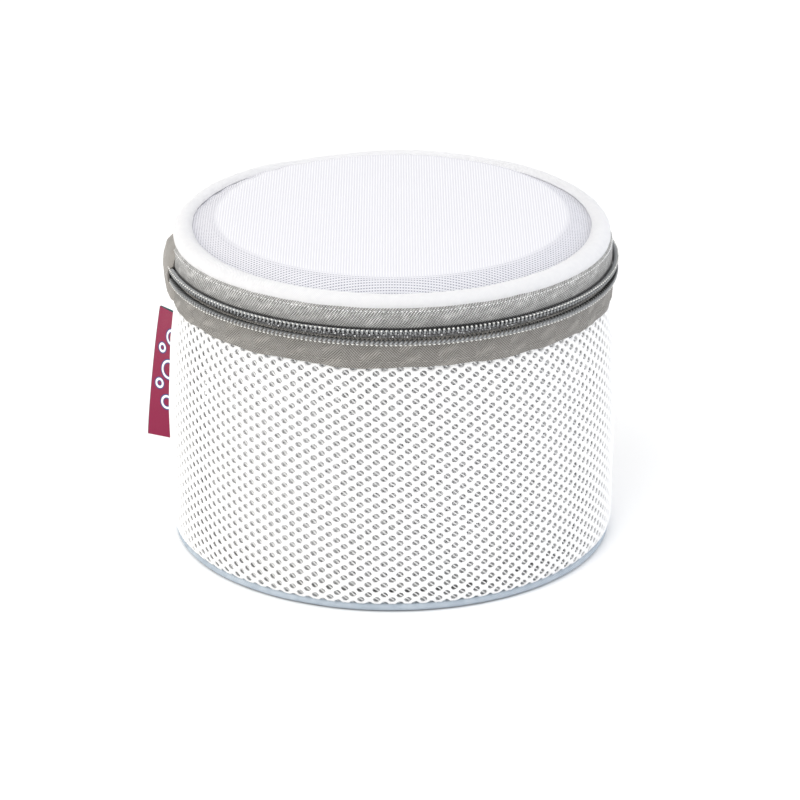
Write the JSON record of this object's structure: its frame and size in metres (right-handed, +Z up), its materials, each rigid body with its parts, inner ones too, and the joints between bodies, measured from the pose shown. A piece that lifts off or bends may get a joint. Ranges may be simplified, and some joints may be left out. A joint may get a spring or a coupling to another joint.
{
  "type": "mesh laundry bag",
  "caption": "Round zip-lidded mesh wash bag with a honeycomb net wall, fine mesh inner drum, padded lid and base, cloth hinge and folded side label.",
  "frame": {"origin": "on the floor under the centre of the round base", "axes": "+Z up through the middle of the lid, +Y towards the cloth hinge at the back, -Y towards the middle of the zip"},
  "size_m": [0.1592, 0.1768, 0.1172],
  "materials": {
    "honeycomb_net": "warp-knitted polyester honeycomb net, soft white",
    "fine_mesh": "fine white polyester mesh",
    "white_binding": "doubled white polyester cloth",
    "blue_grey_piping": "soft piping cloth",
    "white_foam": "white open-cell foam",
    "hoop_plastic": "springy plastic boning",
    "zip_tape": "grey herringbone zip tape",
    "grey_elastic": "ribbed grey elastic",
    "zip_coil": "grey nylon coil, satin",
    "slider_paint": "grey painted die-cast zinc",
    "label_ribbon": "woven ribbon, magenta face and teal back"
  },
  "bodies": {
    "bag": {"base_panel": "fine_mesh", "base_binding": "blue_grey_piping", "base_hoop": "hoop_plastic", "base_pad": "white_foam", "wall_net": "honeycomb_net", "wall_seam": "white_binding", "drum_floor": "fine_mesh", "drum_wall": "fine_mesh", "drum_seam": "white_binding", "drum_collar": "fine_mesh", "mouth_hoop": "hoop_plastic", "mouth_binding": "white_binding", "zip_tape_lower": "zip_tape", "zip_coil_lower": "zip_coil", "zip_stop_lower": "zip_coil", "zip_start_clamp": "zip_coil", "zip_end_tab_lower": "zip_tape", "zip_pull_keeper": "grey_elastic", "hinge_panel_lower": "fine_mesh"},
    "lid": {"lid_cover": "fine_mesh", "lid_edge_band": "white_binding", "lid_hoop": "hoop_plastic", "lid_pad": "white_foam", "lid_lining": "fine_mesh", "lid_binding": "white_binding", "zip_tape_upper": "zip_tape", "zip_coil_upper": "zip_coil", "zip_stop_upper": "zip_coil", "zip_end_tab_upper": "zip_tape", "hinge_panel_upper": "fine_mesh"},
    "slider": {"zip_slider": "slider_paint"},
    "pull": {"zip_pull": "slider_paint"},
    "label": {"side_label": "label_ribbon"}
  },
  "joints": [
    {"name": "lid_hinge", "type": "hinge", "parent": "bag", "child": "lid", "pos_m": [0, 0.07877, 0.1002], "axis": [-1, 0, 0], "range_deg": [0, 195]},
    {"name": "slider_travel", "type": "hinge", "parent": "bag", "child": "slider", "pos_m": [0, 0, 0.1002], "axis": [0, 0, -1], "range_deg": [0, 275]},
    {"name": "pull_swing", "type": "hinge", "parent": "slider", "child": "pull", "pos_m": [0.04851, 0.06676, 0.1002], "axis": [0, 0, 1], "range_deg": [0, 176]},
    {"name": "label_flap", "type": "hinge", "parent": "bag", "child": "label", "pos_m": [-0.01117, 0.07949, 0.042], "axis": [0, 0, 1], "range_deg": [-45, 80]}
  ]
}
